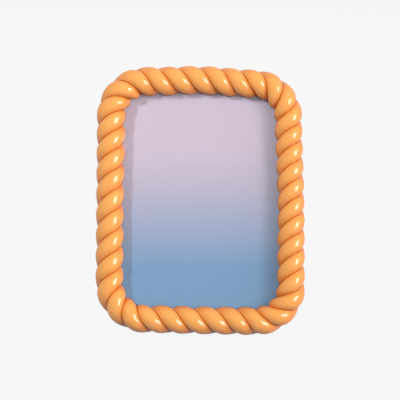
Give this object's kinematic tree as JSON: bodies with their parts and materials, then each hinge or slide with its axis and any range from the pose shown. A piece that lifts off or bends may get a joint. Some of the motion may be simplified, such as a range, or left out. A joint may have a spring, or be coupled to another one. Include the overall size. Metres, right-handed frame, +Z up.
{
  "type": "picture frame",
  "caption": "Standing picture frame with a glossy cast moulding shaped like thick twisted rope, glass, a print, a turn-button back and a hinged easel leg.",
  "frame": {"origin": "middle of the footprint, on the surface that the frame stands on", "axes": "+Z up, the picture faces -Y and leans back by 12 degrees, +X to the right seen from the front"},
  "size_m": [0.1686, 0.0824, 0.21],
  "materials": {
    "resin": "glossy cast resin, hand modelled",
    "glass": "clear float glass",
    "print": "satin print, plain gradient from lilac to blue",
    "card": "uncoated grey card",
    "fibreboard": "smooth fibreboard",
    "hardware": "nickel plated pressed steel",
    "fasteners": "zinc plated steel"
  },
  "bodies": {
    "frame": {"rope_frame": "resin", "glass_pane": "glass", "photo_print": "print", "pressure_card": "card", "back_board": "fibreboard", "hinge_board_leaf": "hardware", "hinge_pin": "fasteners", "board_rivet_left": "fasteners", "board_rivet_right": "fasteners", "button_screw_left_lower": "fasteners", "button_screw_left_upper": "fasteners", "button_screw_right_lower": "fasteners", "button_screw_right_upper": "fasteners", "button_screw_top_left": "fasteners", "button_screw_top_right": "fasteners", "sawtooth_hanger": "hardware", "hanger_nail_left": "fasteners", "hanger_nail_right": "fasteners"},
    "leg": {"easel_leg": "fibreboard", "hinge_leg_leaf": "hardware", "leg_rivet_left": "fasteners", "leg_rivet_right": "fasteners"},
    "button_left_lower": {"turn_button_left_lower": "hardware"},
    "button_left_upper": {"turn_button_left_upper": "hardware"},
    "button_right_lower": {"turn_button_right_lower": "hardware"},
    "button_right_upper": {"turn_button_right_upper": "hardware"},
    "button_top_left": {"turn_button_top_left": "hardware"},
    "button_top_right": {"turn_button_top_right": "hardware"}
  },
  "joints": [
    {"name": "easel_leg_hinge", "type": "hinge", "parent": "frame", "child": "leg", "pos_m": [-0.00126, 0.00955, 0.14359], "axis": [0.9998, 0.0036, 0.0171], "range_deg": [-24, 0]},
    {"name": "left_lower_turn", "type": "hinge", "parent": "frame", "child": "button_left_lower", "pos_m": [-0.07185, -0.01288, 0.04792], "axis": [0, 0.9781, -0.2079], "continuous": true},
    {"name": "left_upper_turn", "type": "hinge", "parent": "frame", "child": "button_left_upper", "pos_m": [-0.07377, 0.00999, 0.1555], "axis": [0, 0.9781, -0.2079], "continuous": true},
    {"name": "right_lower_turn", "type": "hinge", "parent": "frame", "child": "button_right_lower", "pos_m": [0.07273, -0.01235, 0.05038], "axis": [0, 0.9781, -0.2079], "continuous": true},
    {"name": "right_upper_turn", "type": "hinge", "parent": "frame", "child": "button_right_upper", "pos_m": [0.07081, 0.01051, 0.15796], "axis": [0, 0.9781, -0.2079], "continuous": true},
    {"name": "top_left_turn", "type": "hinge", "parent": "frame", "child": "button_top_left", "pos_m": [-0.03821, 0.01891, 0.19748], "axis": [0, 0.9781, -0.2079], "continuous": true},
    {"name": "top_right_turn", "type": "hinge", "parent": "frame", "child": "button_top_right", "pos_m": [0.03377, 0.01917, 0.19871], "axis": [0, 0.9781, -0.2079], "continuous": true}
  ]
}
